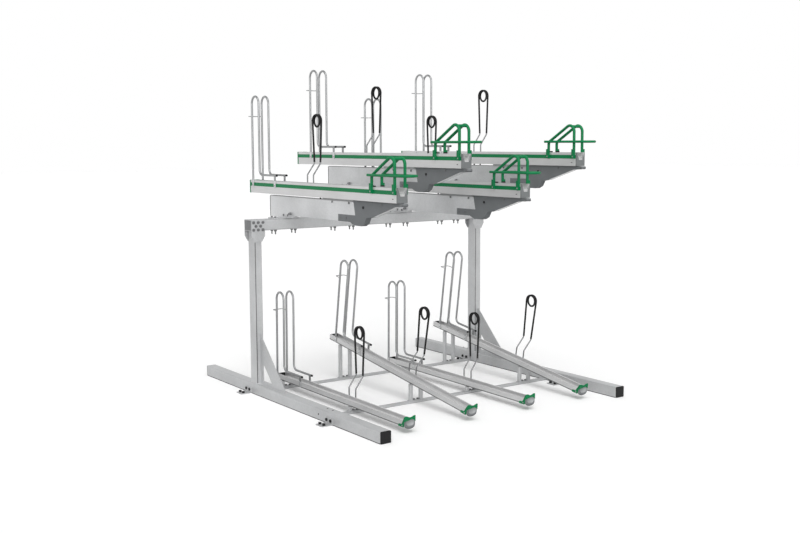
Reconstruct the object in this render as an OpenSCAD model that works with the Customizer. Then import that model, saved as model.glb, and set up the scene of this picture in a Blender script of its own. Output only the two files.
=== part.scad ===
// Two tier bike rack: a portal frame with four fixed low places and four upper
// places whose trays slide out along an arm and then tilt down over its tip.
// +X runs across the rack, -Y is the side where bikes go in, +Z is up and the
// origin is on the floor, midway between the posts.

/* [Floor and posts] */
// Width and height of the square floor beams
beam_w = 80; // [60:1:100]
// Wall of the floor beams, posts and top beam
tube_wall = 4; // [3:0.5:6]
// Outer corner radius of the floor beams, posts and top beam
tube_corner = 8; // [5:0.5:12]
// Length of a floor beam without its end caps
beam_len = 2462; // [2300:1:2800]
// How far a floor beam reaches in front of the posts' centre line
beam_front = 1679; // [1650:1:1800]
// Distance between the centre lines of the two floor beams
frame_span = 2072; // [2000:1:2400]
// Post size across the rack
post_w = 60; // [50:1:76]
// Post size along a bike, and the top beam's depth
post_d = 100; // [80:1:120]
// Height of the posts' tops, where the top beam starts
post_top = 1215; // [1150:1:1400]
// Height of the top beam
top_beam_h = 81; // [70:1:100]
// Thickness of the plates that clamp the top beam
plate_t = 6; // [4:0.5:8]
// Height of a corner brace above the floor beam
brace_h = 375; // [300:1:450]
// Reach of a corner brace along the floor beam
brace_reach = 372; // [300:1:450]

/* [Places] */
// Distance between neighbouring places
pitch = 516; // [480:1:560]
// How far left of the lower places the upper ones stand
upper_shift = 21; // [0:1:40]
// Height of a low upper tray's rims above the floor
upper_top = 1569; // [1550:1:1700]
// How much higher every second upper place is
upper_step = 209; // [150:1:260]
// Height of a low lower tray's rims above the floor, beside the posts
lower_top = 102; // [95:1:120]
// How much higher every second lower place is, beside the posts
lower_step = 216; // [180:1:240]
// Slope of the low lower trays
low_slope = 0.6; // [0:0.1:1.5]
// Slope of the high lower trays
high_slope = 8.4; // [7:0.1:9]
// How much further forward a sloped tray sits than a level one
slope_shift = 14; // [0:1:20]

/* [Trays] */
// Outer width of every tray
tray_w = 79; // [74:1:92]
// Height of an upper tray, wheel gutter and runner rail together
tray_h = 96; // [90:1:110]
// Height of a lower tray
low_tray_h = 40; // [34:1:46]
// Wall of a tray's sides
tray_wall = 4; // [3:0.5:5]
// Thickness of a tray's floor, rims and runner lips
tray_skin = 3; // [2.5:0.5:4]
// Depth of the wheel gutter in an upper tray
gutter_depth = 38; // [30:1:42]
// Width of the slot in the runner rail's underside
slot_w = 44; // [36:1:50]
// How far the nose of an upper tray reaches in front of the posts' centre
tray_front = 1530; // [1500:1:1560]
// How far a low upper tray reaches behind the posts' centre
low_tray_rear = 449; // [440:1:700]
// How far a high upper tray reaches behind the posts' centre
high_tray_rear = 604; // [440:1:700]
// Length of the nose of an upper tray
nose_len = 10; // [8:1:20]
// Height of the coloured strip along an upper tray
strip_h = 26; // [18:1:30]
// Thickness of the coloured strip, sunk flush in the tray's side
strip_t = 2; // [1:0.25:2.5]
// Depth of the strip's top edge below the rim
strip_drop = 18; // [14:1:22]

/* [Wheel holder and lock loop] */
// Diameter of the wheel holder's tube
hoop_d = 16; // [12:0.5:20]
// Height of a hoop's centre line above the tray's rims
hoop_top = 633; // [560:1:700]
// Distance between a hoop's two legs
hoop_gap = 107; // [90:1:120]
// Distance from the posts' centre back to a hoop's rear leg, upper tier
hoop_rear = 389; // [360:1:420]
// Distance from the posts' centre back to a hoop's rear leg, lower tier
low_hoop_rear = 94; // [80:1:96]
// Length of the straight run in front of a hoop's front leg
hoop_run = 220; // [160:1:260]
// Height of that run above the rims
run_rise = 42; // [34:1:60]
// Diameter of the wire that ties the two rear legs
wire_d = 6; // [4:0.5:8]
// Diameter of the lock loop's bare rod
rod_d = 10; // [8:0.5:12]
// Diameter of the lock loop's sleeve
sleeve_d = 14; // [13:0.5:20]
// Distance between the lock loop's two legs
loop_gap = 84; // [76:1:100]
// Height of the lock loop's ring centre above the rims
ring_rise = 440; // [380:1:480]
// Distance of the lock loop's ring from the tray's middle
loop_out = 107; // [100:1:130]
// How far the upper lock loops stand in front of the posts' centre
loop_front = 322; // [200:1:500]
// How far the lower lock loops stand in front of the posts' centre
low_loop_front = 822; // [700:1:850]

/* [Handle] */
// Diameter of the handle's side frames
grip_d = 20; // [16:0.5:24]
// Diameter of the grab loop
grab_d = 17; // [14:0.5:20]
// Distance from the tray's front back to the handle's front posts
grip_back = 28; // [24:1:40]
// Distance between the handle's front and rear posts
grip_gap = 259; // [220:1:300]
// Height of the handle's shoulder above the rims, where the slant starts
grip_shoulder = 72; // [60:1:90]
// Slope of the handle's slanted tubes
grip_slope = 30; // [25:1:40]
// How far the grab loop reaches in front of the front posts
grab_reach = 140; // [90:1:160]

/* [Arms] */
// Width of an upper place's arm
arm_w = 34; // [32:1:40]
// Sheet of the arms and of the web between the cheeks
arm_sheet = 3; // [2:0.5:4]
// Thickness of the cheeks at an arm's front
cheek_t = 4; // [3:0.5:6]
// Height of an arm's box in front of its foot
arm_h = 136; // [120:1:160]
// Gap between an arm and the tray above it, filled by the pads
arm_drop = 15; // [12:1:18]
// How far the foot of an arm hangs below its box
foot_drop = 18; // [12:1:26]
// How far an arm reaches behind the posts' centre
arm_rear = 170; // [150:1:200]
// How far an arm's box reaches in front of the posts' centre
arm_front = 991; // [940:1:1050]
// Distance from the posts' centre forward to the tilt axle
axle_front = 1552; // [1545:1:1570]
// Depth of the tilt axle below the tray's underside
axle_drop = 12; // [11:0.5:14]
// Diameter of the tilt axle and of the rollers' shafts
axle_d = 10; // [8:0.5:12]
// Radius of the cradle's runner rollers
roller_r = 24; // [20:0.5:24]

/* [Fits] */
// Clearance all round a shaft that turns in a bore
run_clear = 0.05; // [0.01:0.01:0.1]
// Gap between pieces that move past one another
slide_clear = 0.3; // [0.2:0.1:0.6]

/* [Hidden] */
$fn = 48;
eps = 1;               // overrun of cuts past a face
run_in = 1.5;          // how far a straight tube runs into a bend
fuller = 0.25;         // how much thicker a bend is than its straight tubes
places = 4;
beam_rear = beam_len - beam_front;
tray_half = tray_w / 2;
beam_top = post_top + top_beam_h;
hoop_r = hoop_d / 2;
loop_r = loop_gap / 2;
pad_side = plate_t - 2;   // flat straps on a tray's side
hoop_x = tray_half + pad_side / 2;

galvanised = [0.72, 0.73, 0.74];
sheet_grey = [0.80, 0.81, 0.82];
cheek_grey = [0.44, 0.455, 0.46];
aluminium = [0.78, 0.79, 0.80];
green = [0.07, 0.47, 0.30];
black = [0.06, 0.06, 0.06];
steel = [0.60, 0.61, 0.62];

// Places: every second one is high, counted from the left post

function place_x(i) = (i - (places - 1) / 2) * pitch;
function upper_x(i) = place_x(i) - upper_shift;
function is_high(i) = i % 2 == 1;
function rim_z(i) = upper_top + (is_high(i) ? upper_step : 0);
function tray_rear(i) = is_high(i) ? high_tray_rear : low_tray_rear;

// Frame of an upper place: x from the tray's middle, y from the posts' centre,
// z from the tray's rims
module upper(i) {
    translate([upper_x(i), 0, rim_z(i)]) children();
}

// Frame of a lower place, leaning with its tray
module lower(i) {
    translate([place_x(i), 0, lower_top + (is_high(i) ? lower_step : 0)])
        rotate([is_high(i) ? high_slope : low_slope, 0, 0])
            translate([0, is_high(i) ? -slope_shift : 0, 0]) children();
}

// Shared shapes

// A rectangle about the origin with round corners
module soft_rect(w, h, r) {
    square([w - 2 * r, h], center = true);
    square([w, h - 2 * r], center = true);
    for (sx = [-1, 1], sy = [-1, 1])
        translate([sx * (w / 2 - r), sy * (h / 2 - r)]) circle(r);
}

// The section of a hollow steel tube
module tube_section(w, h) {
    difference() {
        soft_rect(w, h, tube_corner);
        soft_rect(w - 2 * tube_wall, h - 2 * tube_wall, tube_corner - tube_wall);
    }
}

// A shape drawn in x and z, run forward along the bike by len
module run_forward(len) {
    rotate([90, 0, 0]) linear_extrude(len) children();
}

// A shape drawn in y and z, run across the rack by w about its middle
module run_across(w) {
    rotate([90, 0, 90]) linear_extrude(w, center = true) children();
}

// A straight round rod between two points
module rod(from, to, r) {
    way = to - from;
    len = norm(way);
    translate(from) rotate([0, acos(way.z / len), atan2(way.y, way.x)])
        cylinder(r = r, h = len);
}

// An arc of rod in the x and y plane, bent about the origin
module bend(bend_r, r, angle) {
    rotate_extrude(angle = angle) translate([bend_r, 0]) circle(r);
}

// The same arc stood up along the bike: it starts in front and goes up and back
module side_bend(bend_r, r, angle, start = 0) {
    rotate([90, 0, -90]) rotate([0, 0, start]) bend(bend_r, r, angle);
}

// A hexagon bolt head with its shank pointing down from the origin
module bolt(head_r, head_h, shank_r, shank_len) {
    cylinder(r = head_r, h = head_h, $fn = 6);
    translate([0, 0, -shank_len]) cylinder(r = shank_r, h = shank_len);
}

// Floor beams, their caps and anchors

anchor_t = 6;
anchor_len = 84;
anchor_reach = 84;
anchor_h = 48;
anchor_ys = [68, -1080];
anchor_bolt_r = 6;
anchor_spread = 25;       // half the distance between a bracket's two bolts
anchor_bolt_out = 58;     // from the beam's side to the floor bolts
anchor_bolt_up = 28;      // from the floor to the bolts in the beam's side

module each_beam() {
    for (s = [-1, 1]) translate([s * frame_span / 2, 0, 0]) children();
}

module each_anchor() {
    each_beam() for (y = anchor_ys) translate([-beam_w / 2, y, 0]) children();
}

module anchor_side_holes() {
    for (s = [-1, 1]) translate([-anchor_t, s * anchor_spread, anchor_bolt_up])
        rotate([0, 90, 0]) translate([0, 0, -eps])
            cylinder(r = anchor_bolt_r, h = anchor_t + tube_wall + 2 * eps);
}

module floor_beams() color(galvanised) difference() {
    each_beam() translate([0, beam_rear, beam_w / 2])
        run_forward(beam_len) tube_section(beam_w, beam_w);
    each_anchor() anchor_side_holes();
}

cap_t = 4;
cap_plug = 22;

module beam_caps() color(black) each_beam() for (rear = [false, true])
    translate([0, rear ? beam_rear : -beam_front, beam_w / 2]) mirror([0, rear ? 1 : 0, 0]) {
        run_forward(cap_t) soft_rect(beam_w, beam_w, tube_corner);
        translate([0, cap_plug, 0]) run_forward(cap_plug)
            soft_rect(beam_w - 2 * tube_wall, beam_w - 2 * tube_wall, tube_corner - tube_wall);
    }

module anchor_brackets() color(galvanised) each_anchor() difference() {
    union() {
        translate([-anchor_reach / 2, 0, 0]) linear_extrude(anchor_t)
            difference() {
                soft_rect(anchor_reach, anchor_len, tube_corner);
                for (s = [-1, 1])
                    translate([anchor_reach / 2 - anchor_bolt_out, s * anchor_spread])
                        circle(anchor_bolt_r);
            }
        translate([-anchor_t, -anchor_len / 2, 0]) cube([anchor_t, anchor_len, anchor_h]);
    }
    anchor_side_holes();
}

module anchor_bolts() color(black) each_anchor() for (s = [-1, 1]) {
    translate([-anchor_bolt_out, s * anchor_spread, anchor_t])
        bolt(2 * anchor_bolt_r, 2 * anchor_bolt_r, anchor_bolt_r, anchor_t);
    translate([-anchor_t, s * anchor_spread, anchor_bolt_up]) rotate([0, -90, 0])
        bolt(2 * anchor_bolt_r, anchor_bolt_r, anchor_bolt_r, anchor_t + tube_wall);
}

// Posts, braces and the head of the portal

module posts() color(galvanised) each_beam() translate([0, 0, beam_w])
    linear_extrude(post_top - beam_w) tube_section(post_w, post_d);

brace_land = 10;          // flat end of a brace's two tips
brace_inset = 48;         // from the post to the brace's window
window_rise = 30;         // from the beam to the brace's window
window_leg = 132;

module braces() color(galvanised) each_beam() translate([0, -post_d / 2, beam_w])
    run_across(plate_t) difference() {
        polygon([[0, 0], [0, brace_h], [-brace_land, brace_h],
            [-brace_reach, brace_land], [-brace_reach, 0]]);
        translate([-brace_inset, window_rise])
            polygon([[0, 0], [0, window_leg], [-window_leg, 0]]);
    }

head_w = 110;
head_side = 118;          // height of a head plate's straight sides
head_h = 161;             // height of a head plate with its taper
head_bolt_r = 5;
head_bolt_pitch = 38;
head_row = 27;
head_first_row = 19;      // from the top of a head plate to its first bolts

module head_outline() {
    polygon([[-head_w / 2, 0], [-head_w / 2, -head_side], [-post_w / 2, -head_h],
        [post_w / 2, -head_h], [head_w / 2, -head_side], [head_w / 2, 0]]);
}

// Eight bolts in rows of three, two and three, in the plate's own plane
module each_head_bolt() {
    for (row = [0:2]) {
        count = row == 1 ? 2 : 3;
        for (k = [0:count - 1])
            translate([(k - (count - 1) / 2) * head_bolt_pitch, -head_first_row - row * head_row])
                children();
    }
}

// Both faces of the portal's heads: z points out of the face
module each_head() {
    each_beam() for (turn = [0, 180])
        rotate([0, 0, turn]) translate([0, -post_d / 2, beam_top]) rotate([90, 0, 0]) children();
}

module head_plates() color(galvanised) each_head() linear_extrude(plate_t) difference() {
    head_outline();
    each_head_bolt() circle(head_bolt_r);
}

base_half = 105;          // half the length of an arm's base plate
base_bolt_x = 84;
base_bolt_y = 27;
nut_h = 9;
nut_r = 9.5;
tail_len = 20;            // thread that stands out under a nut

module each_base_bolt(i) {
    for (sx = [-1, 1], sy = [-1, 1])
        translate([upper_x(i) + sx * base_bolt_x, sy * base_bolt_y, beam_top]) children();
}

module top_beam() color(galvanised) difference() {
    translate([0, 0, post_top + top_beam_h / 2]) run_across(frame_span + head_w)
        tube_section(post_d, top_beam_h);
    each_head() each_head_bolt() translate([0, 0, -tube_wall - eps])
        cylinder(r = head_bolt_r, h = tube_wall + 2 * eps);
    for (i = [0:places - 1]) each_base_bolt(i) translate([0, 0, -top_beam_h - eps])
        cylinder(r = head_bolt_r, h = top_beam_h + 2 * eps);
}

// Arms of the upper places

riser_w = 60;
riser_d = 90;

module arm_bases() color(galvanised) for (i = [0:places - 1]) difference() {
    translate([upper_x(i), 0, beam_top]) {
        linear_extrude(base_t) soft_rect(2 * base_half, post_d, tube_corner);
        if (is_high(i)) translate([0, 0, base_t])
            linear_extrude(arm_foot_z(i) - beam_top - base_t) tube_section(riser_w, riser_d);
    }
    each_base_bolt(i) translate([0, 0, -eps]) cylinder(r = head_bolt_r, h = base_t + 2 * eps);
}

// Heights in an upper place's frame, where zero is the tray's rim
arm_top = -tray_h - arm_drop;
arm_low = arm_top - arm_h;
foot_low = arm_low - foot_drop;
foot_front = -172;        // where the foot of an arm ends
foot_slant = 18;
function arm_foot_z(i) = rim_z(i) + foot_low;
base_t = arm_foot_z(0) - beam_top;   // plate that carries an arm on the top beam

// Side outline of an arm, drawn in y and z; inset shrinks it up and down
module arm_outline(inset, past) {
    polygon([[arm_rear + past, arm_top - inset], [arm_rear + past, foot_low + inset],
        [foot_front, foot_low + inset], [foot_front - foot_slant, arm_low + inset],
        [-arm_front - past, arm_low + inset], [-arm_front - past, arm_top - inset]]);
}

// Screws in an arm's sides, in y and z: two at its foot and two under the tray
side_screws = [[-35, foot_low + foot_slant], [-95, foot_low + foot_slant],
    [-719, -120], [-932, -120]];

module each_side_screw() {
    for (p = side_screws, s = [-1, 1])
        translate([s * arm_w / 2, p.x, p.y]) rotate([0, s * 90, 0]) children();
}

module arm_boxes() color(sheet_grey) for (i = [0:places - 1]) upper(i) difference() {
    run_across(arm_w) arm_outline(0, 0);
    run_across(arm_w - 2 * arm_sheet) arm_outline(arm_sheet, eps);
    each_side_screw() translate([0, 0, -arm_sheet - eps])
        cylinder(r = screw_r, h = arm_sheet + 2 * eps);
    each_cheek_screw() translate([0, 0, -arm_sheet - eps])
        cylinder(r = screw_r, h = arm_sheet + 2 * eps);
}

// Cheeks: the outline is read off the photograph, in y and z below the rim
tongue_rear = -800;
tongue_top = -199;
tongue_low = -246;
lobe_rear = -950;
lobe_turn = [-978, -259];
lobe_floor = -1020;
lobe_front = -1146;
lobe_low = -267;
lobe_lift = [-1190, -250];
throat = [-1226, -199];
neck_end = [-1479, -122];
tip_r = 10.5;
cheek_lean = 18;          // how far a cheek's rear edge leans forward
axle_z = -tray_h - axle_drop;
cheek_top = axle_z + tip_r;

module cheek_outline() {
    polygon([[tongue_rear, tongue_top], [tongue_rear, tongue_low], [lobe_rear, tongue_low],
        lobe_turn, [lobe_floor, lobe_low], [lobe_front, lobe_low], lobe_lift, throat, neck_end,
        [-axle_front, axle_z - tip_r], [-axle_front, cheek_top], [-arm_front, cheek_top],
        [-arm_front - cheek_lean, tongue_top]]);
    translate([-axle_front, axle_z]) circle(tip_r);
}

screw_r = 4;
tie_place = [-1114, -142];
stud_place = [-1328, -112];
tongue_screws = [[-832, -224], [-900, -221]];

// Screws through a cheek's tongue into the arm, their heads outside
module each_cheek_screw() {
    for (p = tongue_screws, s = [-1, 1])
        translate([s * arm_w / 2, p.x, p.y]) rotate([0, s * 90, 0]) children();
}

// A pair of cheeks with the folded piece that joins them round the lobe's front
module arm_cheeks() color(cheek_grey) for (i = [0:places - 1]) upper(i) {
    for (s = [-1, 1]) translate([s * (arm_w + cheek_t) / 2, 0, 0]) run_across(cheek_t)
        difference() {
            cheek_outline();
            for (p = concat(tongue_screws, [tie_place, stud_place])) translate(p) circle(screw_r);
            translate([-axle_front, axle_z]) circle(axle_d / 2);
        }
    run_across(arm_w) polygon([[lobe_front, lobe_low], lobe_lift, throat, throat + [arm_sheet, 0],
        lobe_lift + [arm_sheet, arm_sheet], [lobe_front, lobe_low + arm_sheet]]);
}

// The light web that closes the cheeks along their slanted lower edge
module arm_webs() color(sheet_grey) for (i = [0:places - 1]) upper(i)
    run_across(arm_w) polygon([throat, neck_end, neck_end + [0, arm_sheet],
        throat + [arm_sheet, arm_sheet]]);

pad_len = 16;
pad_lap = 2;              // how far a pad reaches under each lip of the tray's slot
pad_ys = [-690, -940];

module arm_pads() color(black) for (i = [0:places - 1], y = pad_ys) upper(i)
    translate([-slot_w / 2 - pad_lap, y - pad_len / 2, arm_top])
        cube([slot_w + 2 * pad_lap, pad_len, arm_drop - slide_clear]);

axle_head_r = 7;
axle_head_t = 2;

module tilt_axles() color(steel) for (i = [0:places - 1]) upper(i)
    translate([0, -axle_front, axle_z]) rotate([0, 90, 0]) {
        cylinder(r = axle_d / 2, h = arm_w + 2 * cheek_t, center = true);
        for (s = [-1, 1]) translate([0, 0, s * (arm_w + 2 * cheek_t + axle_head_t) / 2])
            cylinder(r = axle_head_r, h = axle_head_t, center = true);
    }

// Every bolt and screw of the portal and the arms

module arm_screw(through) {
    bolt(2 * screw_r, screw_r, screw_r, through);
}

module frame_bolts() color(steel) {
    each_head() translate([0, 0, plate_t]) each_head_bolt()
        bolt(nut_r, nut_h, head_bolt_r, plate_t + tube_wall);
    for (i = [0:places - 1]) {
        each_base_bolt(i) translate([0, 0, base_t]) {
            bolt(nut_r, nut_h, head_bolt_r, base_t + top_beam_h + nut_h + tail_len);
            translate([0, 0, -base_t - top_beam_h - nut_h])
                cylinder(r = nut_r, h = nut_h, $fn = 6);
        }
        upper(i) {
            each_side_screw() arm_screw(arm_sheet);
            each_cheek_screw() translate([0, 0, cheek_t]) arm_screw(cheek_t + arm_sheet);
            for (s = [-1, 1]) translate([s * (arm_w / 2 + cheek_t), stud_place.x, stud_place.y])
                rotate([0, s * 90, 0]) arm_screw(cheek_t);
            translate([0, tie_place.x, tie_place.y]) rotate([0, 90, 0]) {
                cylinder(r = screw_r, h = arm_w + 2 * cheek_t, center = true);
                for (s = [-1, 1]) translate([0, 0, s * (arm_w / 2 + cheek_t + screw_r / 2)])
                    cylinder(r = 2 * screw_r, h = screw_r, center = true);
            }
        }
        each_foot_bolt(i) bolt(2 * screw_r, screw_r, screw_r, foot_t);
    }
}

// Lower tier: cross rails, legs and trays

rail_w = 30;
rail_h = 20;
rail_wall = 2;
rail_corner = 4;
rail_ys = [10, -930];
leg_w = 25;
leg_wall = 2;
leg_x = 44;
foot_t = 4;
foot_half = 62;
foot_bolt_x = 16;

module cross_rails() color(galvanised) for (y = rail_ys)
    translate([0, y, rail_h / 2]) run_across(frame_span - beam_w) difference() {
        soft_rect(rail_w, rail_h, rail_corner);
        soft_rect(rail_w - 2 * rail_wall, rail_h - 2 * rail_wall, rail_corner - rail_wall);
    }

module each_foot_bolt(i) {
    for (y = rail_ys, s = [-1, 1])
        translate([place_x(i) + s * foot_bolt_x, y, rail_h + foot_t]) children();
}

// Pairs of legs on a foot plate, cut off along the tray's underside
module lower_legs() color(galvanised) for (i = [0:places - 1], y = rail_ys) difference() {
    translate([place_x(i), y, rail_h]) {
        translate([-foot_half, -rail_w / 2, 0]) cube([2 * foot_half, rail_w, foot_t]);
        for (s = [-1, 1]) translate([s * leg_x, 0, 0]) linear_extrude(lower_top + lower_step)
            difference() {
                soft_rect(leg_w, leg_w, rail_corner);
                soft_rect(leg_w - 2 * leg_wall, leg_w - 2 * leg_wall, rail_corner - leg_wall);
            }
    }
    lower(i) translate([-beam_w, -beam_front, -low_tray_h])
        cube([2 * beam_w, beam_len, lower_top + lower_step]);
    each_foot_bolt(i) translate([0, 0, -foot_t - eps]) cylinder(r = screw_r, h = foot_t + 2 * eps);
}

low_rear = 112;
high_rear = 184;
low_front = 1515;
rim_in = 9;               // width of a tray's turned-in rim
keel = 14;                // sloped fillets that keep a tyre in the middle

function lower_rear(i) = is_high(i) ? high_rear : low_rear;

// The gutter cut out of a tray: turned-in rims above, sloped sides at the floor
module gutter_space(depth) {
    difference() {
        translate([-tray_half + tray_wall, -depth])
            square([tray_w - 2 * tray_wall, depth - tray_skin]);
        for (s = [-1, 1]) translate([s * (tray_half - tray_wall), -depth])
            polygon([[0, 0], [-s * keel, 0], [0, keel]]);
    }
    translate([-tray_half + rim_in, -tray_skin - eps])
        square([tray_w - 2 * rim_in, tray_skin + 2 * eps]);
}

module lower_trays() color(aluminium) for (i = [0:places - 1]) lower(i)
    translate([0, lower_rear(i), 0]) run_forward(low_front + lower_rear(i)) difference() {
        translate([-tray_half, -low_tray_h]) square([tray_w, low_tray_h]);
        gutter_space(low_tray_h - tray_skin);
    }

collar_t = 6;
collar_lap = 20;          // how far a collar reaches over the end of its tray
tab_len = 38;             // length of the two tabs that bolt a collar to its tray
tab_h = 16;
band_h = 14;              // depth of the threshold below the rims
hump_r = 13;
tip_rise = 18;
valley = [4, -3];
tab_screw_r = 3;

// The threshold seen from the front: a hump on the near side, a valley where the
// tyre rolls over, and a pointed ear on the far side
module threshold_outline() {
    side = tray_half + collar_t;
    deep = low_tray_h + collar_t;
    polygon([[-side, -deep], [-side, -hump_r / 2], valley, [side, tip_rise], [side, -band_h],
        [-tray_half + rim_in, -band_h], [-tray_half + rim_in, -deep]]);
    translate([hump_r - side, -hump_r / 2]) circle(hump_r);
}

// A coloured collar round the end of a lower tray
module lower_collars() color(green) for (i = [0:places - 1]) lower(i)
    translate([0, -low_front, 0]) {
        run_forward(collar_t) threshold_outline();
        translate([-tray_half - collar_t, 0, -low_tray_h - collar_t])
            cube([tray_w + 2 * collar_t, collar_lap, collar_t]);
        for (s = [0, 1]) mirror([s, 0, 0]) difference() {
            translate([tray_half, 0, -low_tray_h - collar_t]) {
                cube([collar_t, collar_lap, low_tray_h]);
                cube([collar_t, tab_len, tab_h]);
            }
            translate([0, tab_len - tab_h / 2, -low_tray_h]) rotate([0, 90, 0])
                cylinder(r = tab_screw_r, h = tray_w);
        }
    }

low_nose_len = 66;
low_nose_r = 34;
low_nose_wall = 6.5;

// A half-pipe nose that leads the wheel from the floor into the tray
module lower_noses() color(cheek_grey) for (i = [0:places - 1]) lower(i)
    translate([0, -low_front - collar_t, -collar_t]) run_forward(low_nose_len) difference() {
        circle(low_nose_r);
        circle(low_nose_r - low_nose_wall);
        translate([-low_nose_r - eps, 0]) square(2 * (low_nose_r + eps));
    }

// Wheel holders: two hoops, their straps on the tray's sides and a tie wire

bend_in = 40;             // bend between a hoop's front leg and its run
strap_w = 24;
wire_rise = 485;
wire_back = 66;
wire_corner = 14;
foot_rise = 47;           // top of a hoop's rear foot plate above the rims
plug_len = 9;

// One hoop in its own y and z plane; rear is the y of its rear leg
module hoop(rear) {
    top_r = hoop_gap / 2;
    front = rear - hoop_gap;
    shoulder = hoop_top - top_r;
    rod([0, rear, tray_skin], [0, rear, shoulder], hoop_r);
    translate([0, rear - top_r, shoulder]) side_bend(top_r, hoop_r, 180);
    rod([0, front, run_rise + bend_in], [0, front, shoulder], hoop_r);
    translate([0, front - bend_in, run_rise + bend_in])
        side_bend(bend_in, hoop_r, 90, 180);
    rod([0, front - bend_in, run_rise], [0, front - hoop_run - bend_in, run_rise], hoop_r);
}

// A strap on a tray's side, from below its rim up to the tube it holds
module strap(y, drop, rise) {
    translate([-pad_side / 2, y - strap_w / 2, -drop]) cube([pad_side, strap_w, drop + rise]);
}

module tie_wire(rear) {
    r = wire_d / 2;
    back = rear + wire_back;
    inner = hoop_x - wire_corner;
    for (s = [-1, 1]) {
        rod([s * hoop_x, rear, wire_rise], [s * hoop_x, back - wire_corner, wire_rise], r);
        translate([s * inner, back - wire_corner, wire_rise])
            rotate([0, 0, s > 0 ? 0 : 90]) bend(wire_corner, r, 90);
    }
    rod([-inner, back, wire_rise], [inner, back, wire_rise], r);
}

module holder(rear, drop) {
    for (s = [-1, 1]) translate([s * hoop_x, 0, 0]) {
        hoop(rear);
        strap(rear, drop, foot_rise);
        strap(rear - hoop_gap - bend_in - hoop_run + strap_w, drop, run_rise);
    }
    tie_wire(rear);
}

module lower_holders() color(steel) for (i = [0:places - 1]) lower(i)
    holder(low_hoop_rear, low_tray_h - tray_skin);

module upper_holder(i) color(steel) upper(i) holder(hoop_rear, strip_drop + strip_h);

// Lock loops: a bare rod below, and a sleeve wound one and a half turns above

knee_rise = 54;
knee_gap = 82;            // height of the slanted stretch of a leg
knee_r = 20;
sleeve_low = 144;         // height of the sleeves' lower ends above the rims
coil_gap = 1.5;           // angle left free at the ends of a half turn
socket = 25;              // how far the rod sits in the sleeve
coil_step = sleeve_d + 1; // sideways step of one full turn
foot_plate_t = 4;
foot_x = tray_half + foot_plate_t + rod_d / 2 - 1;
foot_deep = 32;

// How far out a sleeve stands at the ring; side is 1 for the rear leg and -1 for
// the front one, which the coil's one and a half turns set apart
function ring_out(side) = loop_out - side * 3 / 4 * coil_step;

// One leg of the rod: up from its foot, out past the bike's pedals and up again
module rod_leg() {
    lean = atan2(loop_out - foot_x, knee_gap);
    trim_in = knee_r * tan(lean / 2);
    way = [sin(lean), 0, cos(lean)];
    top_knee = knee_rise + knee_gap;
    r = rod_d / 2;
    rod([foot_x, 0, -foot_deep], [foot_x, 0, knee_rise - trim_in + run_in], r);
    translate([foot_x + knee_r, 0, knee_rise - trim_in])
        rotate([90, 0, 0]) rotate([0, 0, 180 - lean]) bend(knee_r, r + fuller, lean);
    rod([foot_x, 0, knee_rise] + (trim_in - run_in) * way,
        [loop_out, 0, top_knee] - (trim_in - run_in) * way, r);
    translate([loop_out - knee_r, 0, top_knee + trim_in])
        rotate([90, 0, 0]) rotate([0, 0, -lean]) bend(knee_r, r + fuller, lean);
    rod([loop_out, 0, top_knee + trim_in - run_in], [loop_out, 0, sleeve_low + socket], r);
}

module lock_rod(middle) translate([0, middle, 0]) {
    translate([tray_half, -loop_r - strap_w / 2, -foot_deep - strap_w / 4])
        cube([foot_plate_t, loop_gap + strap_w, foot_deep]);
    for (side = [-1, 1]) translate([0, side * loop_r, 0]) rod_leg();
}

// Half a turn of the sleeve between the places (out, side) and (out + step, -side)
module half_turn(out, side, down) {
    turn = atan(coil_step / 2 / loop_gap);
    coil_r = norm([loop_r, coil_step / 4]);
    translate([out + coil_step / 4, 0, ring_rise]) rotate([90, 0, 90 + side * turn])
        rotate([0, 0, down + coil_gap]) bend(coil_r, sleeve_d / 2, 180 - 2 * coil_gap);
}

// Three half turns, each in its own upright plane, with short joints between them
module loop_sleeve(middle) translate([0, middle, 0]) {
    first = ring_out(1);
    for (side = [-1, 1]) translate([0, side * loop_r, 0]) difference() {
        rod([loop_out, 0, sleeve_low], [ring_out(side), 0, ring_rise - run_in], sleeve_d / 2);
        rod([loop_out, 0, sleeve_low - socket], [loop_out, 0, sleeve_low + socket], rod_d / 2);
    }
    half_turn(first, 1, 0);
    half_turn(first + coil_step / 2, -1, 180);
    half_turn(first + coil_step, 1, 0);
    for (k = [0:3]) translate([first + k * coil_step / 2, (k % 2 == 0 ? 1 : -1) * loop_r, ring_rise])
        cylinder(r = sleeve_d / 2 + fuller, h = 3 * run_in, center = true);
}

// Plugs on the ends of the hoops' runs
module run_plugs(rear) {
    end = rear - hoop_gap - bend_in - hoop_run;
    for (s = [-1, 1]) rod([s * hoop_x, end, run_rise], [s * hoop_x, end - plug_len, run_rise], hoop_r);
}

module lower_lock_rods() color(steel) for (i = [0:places - 1]) lower(i) lock_rod(-low_loop_front);

module lower_sleeves() color(black) for (i = [0:places - 1]) lower(i) {
    loop_sleeve(-low_loop_front);
    run_plugs(low_hoop_rear);
}

module upper_lock_rod(i) color(steel) upper(i) lock_rod(-loop_front);

module upper_sleeves(i) color(black) upper(i) {
    loop_sleeve(-loop_front);
    run_plugs(hoop_rear);
}

// Upper trays: gutter above, runner rail below, trim and nose

rail_top = -gutter_depth - tray_skin;
rail_low = -tray_h + tray_wall;
cap_rear_t = 7;

module tray_section() {
    difference() {
        translate([-tray_half, -tray_h]) square([tray_w, tray_h]);
        gutter_space(gutter_depth);
        translate([-tray_half + tray_wall, rail_low])
            square([tray_w - 2 * tray_wall, rail_top - rail_low]);
        translate([-slot_w / 2, -tray_h - eps]) square([slot_w, tray_wall + 2 * eps]);
        for (s = [0, 1]) mirror([s, 0]) translate([tray_half - strip_t, -strip_drop - strip_h])
            square([strip_t + eps, strip_h]);
    }
}

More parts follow.
